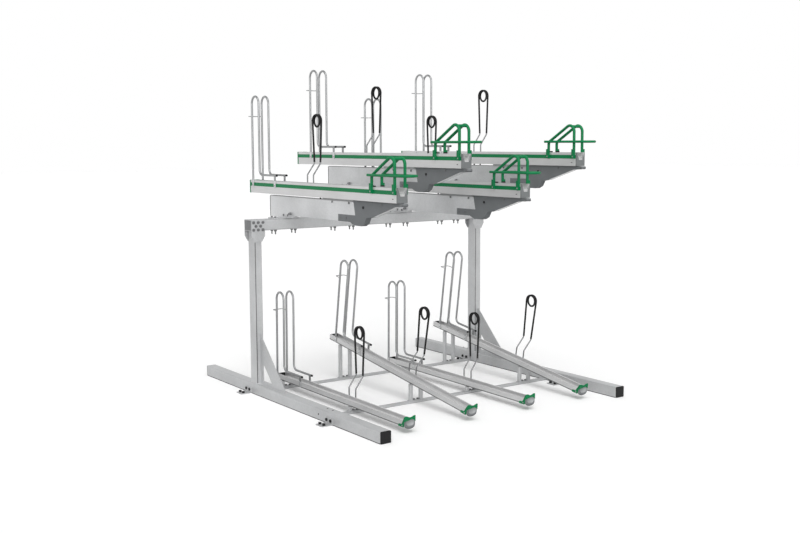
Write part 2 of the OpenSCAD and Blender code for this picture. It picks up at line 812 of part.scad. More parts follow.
ramp_half = 16;           // half the width of the lead-in ramp
ramp_deep = 53;           // depth of the ramp's front edge below the rims
notch_half = 34;          // half the width of the nose's notch at the rim

module tray(i) color(aluminium) upper(i) {
    translate([0, tray_rear(i) - cap_rear_t, 0])
        run_forward(tray_front - nose_len + tray_rear(i) - cap_rear_t) tray_section();
    translate([0, nose_len - tray_front, 0]) run_across(2 * ramp_half)
        polygon([[0, -gutter_depth], [0, rail_top], [-nose_len, -ramp_deep],
            [-nose_len, tray_skin - ramp_deep]]);
}

module trim(i) color(green) upper(i) translate([0, tray_rear(i), 0]) {
    run_forward(cap_rear_t) translate([0, -tray_h / 2]) soft_rect(tray_w, tray_h, tray_skin);
    for (s = [0, 1]) mirror([s, 0, 0]) translate([0, -cap_rear_t, 0])
        run_forward(tray_front - nose_len + tray_rear(i) - cap_rear_t)
            translate([tray_half - strip_t, -strip_drop - strip_h]) square([strip_t, strip_h]);
}

// The nose closes the runner rail and leaves a tapered notch in front of the gutter
module nose(i) color(cheek_grey) upper(i) translate([0, -tray_front + nose_len, 0])
    run_forward(nose_len) difference() {
        translate([0, -tray_h / 2]) soft_rect(tray_w, tray_h, tray_skin);
        polygon([[-ramp_half, -ramp_deep], [ramp_half, -ramp_deep], [notch_half, eps],
            [-notch_half, eps]]);
    }

// Handles

grip_r = grip_d / 2;
grab_r = grab_d / 2;
grip_x = tray_half;
shoulder_r = 30;          // bend above the rear post
crest_r = 45;             // bend between the slant and the front post
clamp_w = 24;
clamp_t = 15;
clamp_drop = 43;          // how far a clamp reaches below the rim
clamp_rise = 23;          // and above it
grab_rise = 76;
grab_tail = 22;           // how far the grab loop reaches behind the rear posts
weld_r = 5;
loop_half = grip_x + grip_r + grab_r + slide_clear;

// One side frame in its own y and z plane, its front post at the origin
module side_frame() {
    shoulder_t = shoulder_r * tan((90 - grip_slope) / 2);
    crest_t = crest_r * tan((90 + grip_slope) / 2);
    crest = grip_shoulder + grip_gap * tan(grip_slope);
    way = [0, cos(grip_slope), -sin(grip_slope)];
    for (y = [0, grip_gap]) translate([0, y - clamp_w / 2, -clamp_drop])
        cube([clamp_t, clamp_w, clamp_drop + clamp_rise]);
    rod([0, grip_gap, 0], [0, grip_gap, grip_shoulder - shoulder_t + run_in], grip_r);
    translate([0, grip_gap - shoulder_r, grip_shoulder - shoulder_t])
        mirror([0, 1, 0]) side_bend(shoulder_r, grip_r + fuller, 90 - grip_slope);
    rod([0, 0, crest] + (crest_t - run_in) * way,
        [0, grip_gap, grip_shoulder] - (shoulder_t - run_in) * way, grip_r);
    translate([0, crest_r, crest - crest_t]) side_bend(crest_r, grip_r + fuller, 90 + grip_slope);
    rod([0, 0, 0], [0, 0, crest - crest_t + run_in], grip_r);
}

// The grab loop lies outside the side frames and is welded to their posts
module handle(i) color(green) upper(i) translate([0, -tray_front + grip_back, 0]) {
    for (s = [0, 1]) mirror([s, 0, 0]) {
        translate([grip_x, 0, 0]) side_frame();
        rod([loop_half, grip_gap + grab_tail, grab_rise],
            [loop_half, loop_half - grab_reach - run_in, grab_rise], grab_r);
        for (y = [0, grip_gap - grip_r]) rod([grip_x, y, grab_rise], [loop_half, y, grab_rise], weld_r);
    }
    translate([0, loop_half - grab_reach, grab_rise]) rotate([0, 0, 180])
        bend(loop_half, grab_r + fuller, 180);
}

// Cradles: they hang on the tilt axle and carry the tray on rollers

neck_play = 1.5;          // between the neck and the arm's cheeks
neck_w = arm_w - 2 * neck_play;
boss_r = 10;
bar_h = 20;
neck_front = 1470;        // behind the nose of the tray
neck_rear = 1250;
neck_top = -50;
roller_front = 1430;
glide_front = 1300;
glide_len = 44;
glide_half = 33;
roller_w = 15;
roller_z = rail_top - roller_r - slide_clear;

module cradle(i) color(steel) upper(i) difference() {
    union() {
        translate([0, -axle_front, axle_z]) rotate([0, 90, 0])
            cylinder(r = boss_r, h = neck_w, center = true);
        run_across(neck_w) polygon([[-axle_front, axle_z - boss_r], [-neck_rear, axle_z - boss_r],
            [-neck_rear, neck_top], [-neck_front, neck_top],
            [-neck_front, axle_z + boss_r], [-axle_front, axle_z + boss_r]]);
        translate([-glide_half, -glide_front, neck_top - bar_h / 2])
            cube([2 * glide_half, glide_len, rail_top - slide_clear - neck_top + bar_h / 2]);
    }
    translate([0, -axle_front, axle_z]) rotate([0, 90, 0])
        cylinder(r = axle_d / 2 + run_clear, h = neck_w + 2 * eps, center = true);
    translate([0, -roller_front, roller_z]) rotate([0, 90, 0])
        cylinder(r = axle_d / 2 + run_clear, h = neck_w + 2 * eps, center = true);
}

module rollers(i) color(black) upper(i) translate([0, -roller_front, roller_z]) rotate([0, 90, 0]) {
    cylinder(r = axle_d / 2, h = neck_w + 2 * eps, center = true);
    for (s = [-1, 1]) translate([0, 0, s * (neck_w / 2 + eps + roller_w / 2)])
        cylinder(r = roller_r, h = roller_w, center = true);
}

floor_beams();
beam_caps();
anchor_brackets();
anchor_bolts();
posts();
braces();
top_beam();
head_plates();
frame_bolts();
cross_rails();
arm_bases();
arm_boxes();
arm_cheeks();
arm_webs();
arm_pads();
tilt_axles();
lower_trays();
lower_legs();
lower_collars();
lower_noses();
lower_holders();
lower_lock_rods();
lower_sleeves();
cradle(0);  // cradle_1
cradle(1);  // cradle_2
cradle(2);  // cradle_3
cradle(3);  // cradle_4
rollers(0);  // rollers_1
rollers(1);  // rollers_2
rollers(2);  // rollers_3
rollers(3);  // rollers_4
tray(0);  // tray_1
tray(1);  // tray_2
tray(2);  // tray_3
tray(3);  // tray_4
trim(0);  // trim_1
trim(1);  // trim_2
trim(2);  // trim_3
trim(3);  // trim_4
nose(0);  // nose_1
nose(1);  // nose_2
nose(2);  // nose_3
nose(3);  // nose_4
upper_holder(0);  // holder_1
upper_holder(1);  // holder_2
upper_holder(2);  // holder_3
upper_holder(3);  // holder_4
upper_lock_rod(0);  // lock_rod_1
upper_lock_rod(1);  // lock_rod_2
upper_lock_rod(2);  // lock_rod_3
upper_lock_rod(3);  // lock_rod_4
upper_sleeves(0);  // sleeves_1
upper_sleeves(1);  // sleeves_2
upper_sleeves(2);  // sleeves_3
upper_sleeves(3);  // sleeves_4
handle(0);  // handle_1
handle(1);  // handle_2
handle(2);  // handle_3
handle(3);  // handle_4
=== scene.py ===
import math
import bmesh
import bpy
from mathutils import Matrix, Vector


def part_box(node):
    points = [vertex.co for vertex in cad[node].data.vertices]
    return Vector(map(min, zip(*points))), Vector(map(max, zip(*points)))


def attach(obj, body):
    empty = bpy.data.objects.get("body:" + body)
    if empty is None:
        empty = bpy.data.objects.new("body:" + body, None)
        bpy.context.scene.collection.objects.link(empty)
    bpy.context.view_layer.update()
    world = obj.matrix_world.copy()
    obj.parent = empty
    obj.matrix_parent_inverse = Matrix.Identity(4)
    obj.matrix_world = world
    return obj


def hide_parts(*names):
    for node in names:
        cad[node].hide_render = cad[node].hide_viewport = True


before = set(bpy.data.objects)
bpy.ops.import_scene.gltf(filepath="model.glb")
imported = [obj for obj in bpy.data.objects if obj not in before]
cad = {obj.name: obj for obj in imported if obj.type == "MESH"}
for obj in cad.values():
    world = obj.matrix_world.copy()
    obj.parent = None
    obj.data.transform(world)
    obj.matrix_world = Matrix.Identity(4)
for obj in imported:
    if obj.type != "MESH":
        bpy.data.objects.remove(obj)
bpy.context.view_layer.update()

# THE STUDIO
# The rack is seen from its front left, a little above the top of the posts, on a plain
# white floor. The lens is a standard one, so the rack stands well back in the room.
camera_place = Vector((-4.7306, -7.0590, 1.8594))
camera_turn = math.radians(35.297)
camera_dip = math.radians(6.6)
camera_roll = math.radians(-0.204)
photo_width = 800
focal_px = 1080.55

bpy.context.scene.view_settings.view_transform = "Standard"
lens = bpy.data.cameras.new("camera")
lens.sensor_width = 36
lens.lens = focal_px * lens.sensor_width / photo_width
camera = bpy.data.objects.new("camera", lens)
bpy.context.scene.collection.objects.link(camera)
camera.matrix_world = (Matrix.Translation(camera_place) @ Matrix.Rotation(-camera_turn, 4, "Z")
                       @ Matrix.Rotation(math.pi / 2 - camera_dip, 4, "X")
                       @ Matrix.Rotation(camera_roll, 4, "Z"))
bpy.context.scene.camera = camera


class Socket:
    """One output of a material's node, on which shader maths is written as plain sums."""

    def __init__(self, tree, out):
        self.tree = tree
        self.out = out

    def node(self, kind, settings=None, inputs=None, result=0):
        """Adds a node of this kind, sets it up, and gives one of its outputs."""
        new = self.tree.nodes.new(kind)
        for name, value in (settings or {}).items():
            if name == "stops":
                while len(new.color_ramp.elements) < len(value):
                    new.color_ramp.elements.new(1)
                for stop, (at, colour) in zip(new.color_ramp.elements, value):
                    stop.position = at
                    stop.color = (*colour, 1)
            else:
                setattr(new, name, value)
        for name, value in (inputs or {}).items():
            if isinstance(value, Socket):
                self.tree.links.new(value.out, new.inputs[name])
            else:
                new.inputs[name].default_value = value
        return Socket(self.tree, new.outputs[result])

    def maths(self, operation, first, second):
        return self.node("ShaderNodeMath", {"operation": operation}, {0: first, 1: second})

    def __add__(self, other):
        return self.maths("ADD", self, other)

    def __radd__(self, other):
        return self.maths("ADD", other, self)

    def __sub__(self, other):
        return self.maths("SUBTRACT", self, other)

    def __rsub__(self, other):
        return self.maths("SUBTRACT", other, self)

    def __mul__(self, other):
        return self.maths("MULTIPLY", self, other)

    def __rmul__(self, other):
        return self.maths("MULTIPLY", other, self)

    def mix(self, low, high):
        """A colour between two, by this value."""
        return self.node("ShaderNodeMix", {"data_type": "RGBA"},
                         {0: self, 6: low, 7: high}, result=2)

    def noise(self, scale, detail=3):
        return self.node("ShaderNodeTexNoise", {}, {"Vector": self, "Scale": scale,
                                                    "Detail": detail})

    def stretched(self, x, y, z):
        """This place with each axis scaled, so that a pattern runs along a piece."""
        return self.node("ShaderNodeMapping", {}, {"Vector": self, "Scale": (x, y, z)})


def linear(red, green, blue):
    """A colour as a screen shows it, turned into the amounts of light that shaders use."""
    return tuple(c / 12.92 if c <= 0.04045 else ((c + 0.055) / 1.055) ** 2.4
                 for c in (red / 255, green / 255, blue / 255)) + (1,)


def new_finish(name, metallic=0, coat=0):
    """A material with its shader and the place on the piece that its patterns read."""
    material = bpy.data.materials.new(name)
    material.use_nodes = True
    tree = material.node_tree
    shader = tree.nodes["Principled BSDF"]
    shader.inputs["Metallic"].default_value = metallic
    shader.inputs["Coat Weight"].default_value = coat
    place = Socket(tree, tree.nodes.new("ShaderNodeTexCoord").outputs["Object"])
    return material, shader, place


def wear(shader, colour, roughness, relief, depth, edge=0.001):
    """Links a pattern's colour, roughness and relief to a shader, and softens sharp edges."""
    tree = colour.tree
    softened = relief.node("ShaderNodeBevel", {"samples": 4}, {"Radius": edge})
    bump = relief.node("ShaderNodeBump", {}, {"Strength": 1, "Distance": depth, "Height": relief,
                                              "Normal": softened})
    for name, value in (("Base Color", colour), ("Roughness", roughness), ("Normal", bump)):
        tree.links.new(value.out, shader.inputs[name])


def seen(tree):
    """1 where the camera or a shiny piece looks, 0 where plain light falls."""
    path = tree.nodes.new("ShaderNodeLightPath")
    lens_ray, gloss, glass = (Socket(tree, path.outputs[f"Is {kind} Ray"])
                              for kind in ("Camera", "Glossy", "Transmission"))
    return glass.maths("MAXIMUM", glass, lens_ray.maths("MAXIMUM", lens_ray, gloss))


def lit(tree, kind, colour, brightness):
    """A light of one colour and strength, for the room's walls and floor."""
    return Socket(tree, None).node(kind, {}, {"Color": colour, "Strength": brightness})


room_light = 0.54
lamp_lights = {"key": ((-0.25, -0.45, 1.0), 1.25, 40), "front": ((-0.7, -1.0, 0.14), 2.0, 60)}
floor_tone = 0.2          # what light bounces off; the seen floor is white
lamp_on_floor = sum(power * Vector(towards).normalized().z / math.pi
                    for towards, power, _ in lamp_lights.values())

room = bpy.data.worlds.new("room")
bpy.context.scene.world = room
room.use_nodes = True
sky = room.node_tree
white = (1, 1, 1, 1)
walls = lit(sky, "ShaderNodeBackground", white, room_light)
ceiling = Socket(sky, sky.nodes.new("ShaderNodeTexCoord").outputs["Generated"])
height = ceiling.node("ShaderNodeSeparateXYZ", {}, {0: ceiling}, result=2)
shade = height.node("ShaderNodeValToRGB",
                    {"stops": ((0.0, (1, 1, 1)), (0.22, (1, 1, 1)), (0.75, (0.42, 0.42, 0.43)))},
                    {0: height})
cyclorama = lit(sky, "ShaderNodeBackground", white, 1)
mirrored = lit(sky, "ShaderNodeBackground", shade, 1)
camera_ray = Socket(sky, sky.nodes.new("ShaderNodeLightPath").outputs["Is Camera Ray"])
backdrop = camera_ray.node("ShaderNodeMixShader", {}, {0: camera_ray, 1: mirrored, 2: cyclorama})
view = backdrop.node("ShaderNodeMixShader", {}, {0: seen(sky), 1: walls, 2: backdrop})
sky.links.new(view.out, sky.nodes["World Output"].inputs[0])

floor_half = 60
bpy.ops.mesh.primitive_plane_add(size=2 * floor_half)
floor = bpy.context.object
floor.name = "floor"
floor_paint = bpy.data.materials.new("floor")
floor_paint.use_nodes = True
ground = floor_paint.node_tree
paint = ground.nodes["Principled BSDF"]
paint.inputs["Base Color"].default_value = (floor_tone, floor_tone, floor_tone, 1)
paint.inputs["Roughness"].default_value = 0.9
paint.inputs["Specular IOR Level"].default_value = 0
matt = Socket(ground, paint.outputs[0])
pale = matt.node("ShaderNodeBsdfDiffuse", {}, {"Color": white})
glow = lit(ground, "ShaderNodeEmission", white, 1.004 - room_light - lamp_on_floor)
lift = pale.node("ShaderNodeAddShader", {}, {0: pale, 1: glow})
surface = matt.node("ShaderNodeMixShader", {}, {0: seen(ground), 1: matt, 2: lift})
ground.links.new(surface.out, ground.nodes["Material Output"].inputs[0])
floor.data.materials.append(floor_paint)

for name, (towards, power, spread) in lamp_lights.items():
    light = bpy.data.lights.new(name, "SUN")
    light.energy = power
    light.angle = math.radians(spread)
    bulb = bpy.data.objects.new(name, light)
    bpy.context.scene.collection.objects.link(bulb)
    bulb.rotation_euler = Vector(towards).to_track_quat("Z", "Y").to_euler()

# FLOOR BEAMS
# Two lengths of 80 mm square steel tube lie on the floor and carry the posts. They are
# dipped in molten zinc after welding, which leaves a dull grey skin with pale clouds.


def galvanised(name, tone, metallic=0.55, clarity=0.0):
    """Hot-dip zinc: dull grey, with soft clouds, faint flakes and a fine grain."""
    material, shader, place = new_finish(name, metallic)
    flakes = place.node("ShaderNodeTexVoronoi", {}, {"Vector": place, "Scale": 95.0},
                        result="Color")
    flake = flakes.node("ShaderNodeSeparateColor", {}, {0: flakes})
    clouds = place.noise(3.5, 4)
    grain = place.noise(260.0, 2)
    dark, pale = (linear(tone + shift, tone + shift + 1, tone + shift + 2)
                  for shift in (-34, 26))
    colour = (clouds * 0.78 + flake * 0.12 + grain * 0.10).mix(dark, pale)
    wear(shader, colour, 0.32 - clarity + flake * 0.08 + clouds * 0.14,
         flake * 0.3 + grain * 0.7, 0.00004)
    return material


def dress(finish, *names):
    """Gives CAD nodes a finish."""
    for name in names:
        node = cad[name]
        node.data.materials.clear()
        node.data.materials.append(finish)


tube_zinc = galvanised("galvanised_tube", 196)
dress(tube_zinc, "floor_beams")


def moulded(name, tone, roughness, shine=0.25):
    """Moulded plastic or rubber with a fine matt grain and faint dust."""
    material, shader, place = new_finish(name)
    shader.inputs["Specular IOR Level"].default_value = shine
    grain = place.noise(900.0, 2)
    dust = place.noise(14.0, 5)
    colour = dust.mix(linear(*tone), linear(*(c + 12 for c in tone)))
    wear(shader, colour, roughness + dust * 0.15, grain, 0.00004)
    return material


black_plastic = moulded("black_plastic", (20, 20, 21), 0.42)
dress(black_plastic, "beam_caps")


def skin(name, rings, closed=False, capped=True):
    """A piece drawn through its cross-sections in millimetres, ring by ring."""
    mesh = bmesh.new()
    rows = [[mesh.verts.new(Vector(point) / 1000) for point in ring] for ring in rings]
    for near, far in zip(rows, rows[1:] + (rows[:1] if closed else [])):
        for k in range(len(near)):
            mesh.faces.new((near[k - 1], near[k], far[k], far[k - 1]))
    if capped and not closed:
        for ring in (rows[0], rows[-1]):
            mesh.faces.new(ring)
    bmesh.ops.recalc_face_normals(mesh, faces=mesh.faces)
    data = bpy.data.meshes.new(name)
    mesh.to_mesh(data)
    mesh.free()
    data.shade_smooth()
    data.set_sharp_from_angle(angle=math.radians(32))
    piece = bpy.data.objects.new(name, data)
    bpy.context.scene.collection.objects.link(piece)
    return piece


def fit(piece, finish, body="frame", stands_for=()):
    """Gives a piece its finish and the body that it moves with."""
    piece.data.materials.append(finish)
    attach(piece, body)
    if stands_for:
        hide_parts(*stands_for)


def set_in(piece, finish, spots, body="frame", stands_for=()):
    """Sets a copy of one small piece, with its own mesh, at each of its spots."""
    for number, spot in enumerate(spots, 1):
        copy = bpy.data.objects.new(f"{piece.name}_{number}", piece.data.copy())
        copy.data.transform(spot)
        bpy.context.scene.collection.objects.link(copy)
        fit(copy, finish, body, stands_for)
    bpy.data.objects.remove(piece)


def rounded(piece, width, angle=40):
    """Rounds a piece's sharp edges, as a mould or a file does."""
    bevel = piece.modifiers.new("bevel", "BEVEL")
    bevel.width = width / 1000
    bevel.segments = 3
    bevel.angle_limit = math.radians(angle)
    bpy.ops.object.select_all(action="DESELECT")
    piece.select_set(True)
    bpy.context.view_layer.objects.active = piece
    bpy.ops.object.modifier_apply(modifier=bevel.name)
    return piece


def spun(name, profile, sides=24):
    """A turned piece from its profile of radius and height."""
    return skin(name, [[(r * math.cos(a), r * math.sin(a), z)
                        for a in (k * math.tau / sides for k in range(sides))]
                       for r, z in profile])


def stand(x, y, z, towards="Z"):
    """A spot in millimetres, and the way that a piece on it looks out."""
    turns = {"Z": (0, "X"), "-Z": (180, "X"), "X": (90, "Y"), "-X": (-90, "Y"),
             "Y": (-90, "X"), "-Y": (90, "X")}
    angle, axis = turns[towards]
    return (Matrix.Translation(Vector((x, y, z)) / 1000)
            @ Matrix.Rotation(math.radians(angle), 4, axis))


# Zinc drains out of the beams through holes; a dark domed disc set in each paints the shade inside
# the hole
rubber_and_painted_hole_shade = moulded("rubber_and_painted_hole_shade", (30, 30, 31), 0.6)
set_in(spun("painted_hole_shade_disc", [(6.5, -2), (6.5, 0.3), (5.6, 0.8), (2.0, 1.0)]), rubber_and_painted_hole_shade,
       [stand(-1030, -985, 80), stand(-1030, -1052, 80), stand(1070, 184, 80),
        stand(1070, 129, 80), stand(-1076, -941, 40, "-X")])

# Dark strips along both sides of each beam's foot paint the shade where the beam meets the floor
painted_foot_shade = moulded("painted_foot_shade", (66, 66, 67), 0.6)
beam_rear, beam_front = 783, -1675
foot_shade_section = [(31, 0.2), (39.9, 0.2), (40, 4.4), (38.8, 5.4), (33, 3)]
for side, x in (("left", -1036), ("right", 1036)):
    for edge in (-1, 1):
        strip = skin(f"bed_strip_{side}_{'in' if edge * x < 0 else 'out'}",
                     [[(x + edge * across, y, z) for across, z in foot_shade_section]
                      for y in (beam_rear, beam_front)])
        fit(strip, painted_foot_shade)

# ANCHORS
# Four angle brackets are bolted to the beams' outer sides and down into the floor. The
# brackets are galvanised plate, and the bolts black oxide steel.
black_steel = moulded("black_steel", (26, 26, 27), 0.35)
dress(tube_zinc, "anchor_brackets")
dress(black_steel, "anchor_bolts")

# POSTS AND BRACES
# The posts stand on the beams, each stiffened by a triangular plate in front. Every joint
# has a fillet weld, galvanised over with the rest.
dress(tube_zinc, "posts", "braces")
ripple = 5.0


def joined(bits, name):
    """One piece made of several."""
    bpy.ops.object.select_all(action="DESELECT")
    for bit in bits:
        bit.select_set(True)
    bpy.context.view_layer.objects.active = bits[0]
    if len(bits) > 1:
        bpy.ops.object.join()
    bits[0].name = name
    return bits[0]


def weld(name, path, radius, body="frame"):
    """A fillet weld in millimetres: a rippled bead laid along a joint."""
    beads = []
    for start, end in zip(path, path[1:]):
        start, run = Vector(start), Vector(end) - Vector(start)
        side = run.orthogonal().normalized()
        across = run.normalized().cross(side)
        steps = 2 * round(run.length / ripple)
        rings = []
        for step in range(steps + 1):
            r = radius * (0.62 if step in (0, steps) else 0.9 + 0.1 * (-1) ** step)
            rings.append([start + run * step / steps
                          + (side * math.cos(a) + across * math.sin(a)) * r
                          for a in (k * math.tau / 8 for k in range(8))])
        beads.append(skin(name, rings))
    fit(joined(beads, name), tube_zinc, body)


beam_top = 80
post_x, post_y = 30, 50
brace_half = 3
brace_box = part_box("braces")
brace_front = brace_box[0][1] * 1000
brace_high = brace_box[1][2] * 1000
for side, x in (("left", -1036), ("right", 1036)):
    left, right = x - post_x, x + post_x
    weld(f"post_weld_{side}", [(left, -post_y, beam_top), (right, -post_y, beam_top),
                               (right, post_y, beam_top), (left, post_y, beam_top),
                               (left, -post_y, beam_top)], 3.2)
    for edge in (-1, 1):
        at = x + edge * brace_half
        weld(f"brace_weld_{side}_{'in' if edge * x < 0 else 'out'}",
             [(at, -post_y, brace_high), (at, -post_y, beam_top), (at, brace_front, beam_top)], 2.6)

# TOP BEAM
# A 81 mm high tube is bolted between two plates on each post's head. The arms' base plates
# are bolted through it, with flanged nuts and the bolts' threads showing underneath.
dress(tube_zinc, "top_beam", "head_plates", "cross_rails", "arm_bases", "lower_legs")
bright_zinc = galvanised("bright_zinc", 158, clarity=0.08)
dark_zinc = galvanised("dark_zinc", 118, clarity=0.08)
dress(dark_zinc, "frame_bolts", "tilt_axles")

pitch = 516
upper_shift = 21
beam_under = 1215
flat_across = 21


def hexagon(across, z, cap=99.0):
    """A hexagon of 24 points whose corners are cut by a circle."""
    ring = []
    for k in range(24):
        a = k * math.tau / 24
        r = min(across / 2 / math.cos((a % (math.pi / 3)) - math.pi / 6), cap)
        ring.append((r * math.cos(a), r * math.sin(a), z))
    return ring


post_head, plate_face, bolt_pitch = 1296, 56, 38
head_rows = ((3, -19), (2, -46), (3, -73))
set_in(skin("head_washer", [hexagon(25, z, r) for z, r in ((0, 12.8), (1.6, 12.8), (2.2, 12.2))]
            + [hexagon(25, z, 9.2) for z in (2.2, 0)], closed=True), bright_zinc,
       [stand(x + (k - (count - 1) / 2) * bolt_pitch, face * plate_face, post_head + up,
              "Y" if face > 0 else "-Y")
        for x in (-1036, 1036) for face in (-1, 1) for count, up in head_rows
        for k in range(count)])

# The left end of the top beam is closed. Its light and dark bands are read as two grooves, and its
# plate takes the darker zinc, which paints the shade on the beam's end
beam_left_end = -1091
ribs = [(47, 0.5), (47, 1.2), (14, 1.2), (13, 3), (1, 3), (0, 1.2), (-8, 1.2), (-9, 0.5),
        (-26, 0.5), (-27, 2), (-47, 2), (-47, 0.2), (47, 0.2)]
end = skin("beam_end_left", [[(beam_left_end - proud, y, z) for y, proud in ribs]
                             for z in (1219, 1292)])
fit(rounded(end, 0.4), dark_zinc)

# A dark strip down each post's front near the left edge paints the dark reflection along its
# rounded corner
for side, x in (("left", -1036), ("right", 1036)):
    corner_reflection = skin(f"post_seam_{side}", [[(x - 29, -50.5, z), (x - 22, -50.5, z), (x - 21.5, -49.8, z),
                                       (x - 29.5, -49.8, z)] for z in (88, 400, 760, 1132)])
    fit(corner_reflection, dark_zinc)

nut = skin("base_nut", [hexagon(25, 0, 13.5), hexagon(25, 2.2, 13.5), hexagon(flat_across, 3, 10.6),
                        hexagon(flat_across, 9.5), hexagon(flat_across, 11.5, 10.6),
                        hexagon(flat_across, 12, 9.9), hexagon(11, 12, 5.2), hexagon(11, 33, 5.2),
                        hexagon(10, 34, 4.2)])
set_in(nut, dark_zinc,
       [stand((i - 1.5) * pitch - upper_shift + sx * 84, sy * 27, beam_under, "-Z")
        for i in range(4) for sx in (-1, 1) for sy in (-1, 1)])

# ARMS
# Each upper place has an arm folded from bright galvanised sheet, set on a plate or a riser
# on the top beam. Riser, plate and arm are welded.
sheet_zinc = galvanised("galvanised_sheet", 205, metallic=0.8, clarity=0.06)
dress(sheet_zinc, "arm_boxes", "arm_webs")
upper_tops = (1569, 1778, 1569, 1778)
arm_half, arm_top, arm_foot = 17, -111, -265


def upper_place(i):
    """The frame of an upper place, on its tray's rims."""
    return stand((i - 1.5) * pitch - upper_shift, 0, upper_tops[i])


def bar(name, low, high, soft=0.6):
    """A bar between two corners in millimetres, its edges broken."""
    (x0, y0, z0), (x1, y1, z1) = low, high
    return rounded(skin(name, [[(x0, y, z0), (x1, y, z0), (x1, y, z1), (x0, y, z1)]
                               for y in (y0, y1)]), soft)


# Darker lines at the arm's rear end and along its top, taken as a lip and a strip
set_in(bar("arm_lip", (-arm_half - 1.2, 163, arm_foot), (arm_half + 1.2, 171, arm_top + 1)),
       dark_zinc, [upper_place(i) for i in range(4)])
set_in(bar("arm_strip", (-arm_half, -600, arm_top), (arm_half, 162, arm_top + 5)),
       bright_zinc, [upper_place(i) for i in range(4)])
set_in(bar("arm_end", (-arm_half, -1034, -199), (arm_half, -991, arm_top), 0.4),
       sheet_zinc, [upper_place(i) for i in range(4)])
set_in(rounded(skin("side_bolt", [hexagon(19, z, r) for z, r in ((0, 12), (2, 12), (2, 9.6),
                                                                 (13, 9.6), (15, 8.4))]), 0.3),
       dark_zinc, [upper_place(i) @ stand(edge * arm_half, -137, -234, "X" if edge > 0 else "-X")
                   for i in range(4) for edge in (-1, 1)])

# CHEEKS
# Two dark painted plates hold the tilt axle at the end of each arm. They are cut from 4 mm
# steel and screwed to the arm's sides.


def powder_coat(name, tone, roughness, coat):
    """Baked powder paint with a faint orange-peel skin."""
    material, shader, place = new_finish(name, coat=coat)
    shader.inputs["Specular IOR Level"].default_value = 0.25
    peel = place.noise(420.0, 2)
    cloud = place.noise(7.0, 3)
    colour = cloud.mix(linear(*(c * 0.94 for c in tone)), linear(*(c * 1.05 for c in tone)))
    wear(shader, colour, roughness + cloud * 0.08, peel, 0.00005)
    return material


grey_paint = powder_coat("dark_grey_paint", (124, 127, 129), 0.5, 0)
tip = [(-1552 - 10.5 * math.sin(a), -108 - 10.5 * math.cos(a))
       for a in (math.radians(15 * k) for k in range(13))]
cheek = [(-800, -199), (-800, -246), (-950, -246), (-978, -259), (-1015, -267), (-1088, -267),
         (-1124, -250), (-1149, -211), (-1226, -199), (-1479, -122)] + tip + [(-991, -97.5),
                                                                             (-1014, -199)]
cheek_t = 4
pair = [rounded(skin("cheek", [[(x, y, z) for y, z in cheek]
                               for x in (edge * arm_half, edge * (arm_half + cheek_t))]), 0.5)
        for edge in (-1, 1)]
fold = [(-1088, -267), (-1124, -250), (-1149, -211), (-1226, -199)]
inner_fold = [(-1088, -264), (-1121, -248), (-1146, -208), (-1226, -196)]
pair.append(skin("fold", [[(x, y, z) for y, z in fold + inner_fold[::-1]]
                          for x in (-arm_half, arm_half)]))
set_in(joined(pair, "cheeks"), grey_paint, [upper_place(i) for i in range(4)],
       stands_for=("arm_cheeks",))
set_in(rounded(skin("tie_cap", [hexagon(17, z, r) for z, r in ((0, 8.8), (4.6, 8.8), (5.2, 8))]),
               0.3), black_steel,
       [upper_place(i) @ stand(edge * (arm_half + cheek_t), -1114, -142, "X" if edge > 0 else "-X")
        for i in range(4) for edge in (-1, 1)])

# The gap over the last 400 mm of the arm is closed by something pale, taken as a nylon strip
pale_nylon = moulded("pale_nylon", (176, 177, 178), 0.5)
set_in(bar("guide_strip", (-23, -985, arm_top), (23, -600, -96.4)), pale_nylon,
       [upper_place(i) for i in range(4)], stands_for=("arm_pads",))

# LOWER TRAYS
# Four aluminium gutters stand on pairs of legs, every second one raised and sloping. They
# are extruded, and their mill finish shows fine draw lines along the length.


def extruded(name, tone):
    """Mill aluminium: fine draw lines along the tray."""
    material, shader, place = new_finish(name, metallic=0.45)
    lines = place.stretched(1, 0.01, 1).noise(600.0, 3)
    cloud = place.noise(4.0, 3)
    colour = (lines * 0.5 + cloud * 0.5).mix(linear(*(tone - 26,) * 3), linear(*(tone + 20,) * 3))
    wear(shader, colour, 0.28 + lines * 0.14 + cloud * 0.1, lines, 0.00004)
    return material


aluminium = extruded("mill_aluminium", 216)
dress(aluminium, "lower_trays")


def lower_place(i):
    """The frame of a lower place, on its tray's rims, as the tray leans."""
    high = i % 2
    return (stand((i - 1.5) * pitch, 0, 318 if high else 102)
            @ Matrix.Rotation(math.radians(8.4 if high else 0.6), 4, "X")
            @ stand(0, -14 if high else 0, 0))


gutter = [(39.5, 0), (39.5, -40), (-39.5, -40), (-39.5, 0), (-30.5, 0), (-30.5, -3), (-35.5, -3),
          (-35.5, -23), (-21.5, -37), (21.5, -37), (35.5, -23), (35.5, -3), (30.5, -3), (30.5, 0)]
low_end = -1515
collar_rear, collar_front = -1570, -1578
tray_end = skin("lower_tray_end", [[(x, y, z) for x, z in gutter]
                                   for y in (low_end, collar_rear + 4)])
set_in(tray_end, aluminium, [lower_place(i) for i in range(4)])
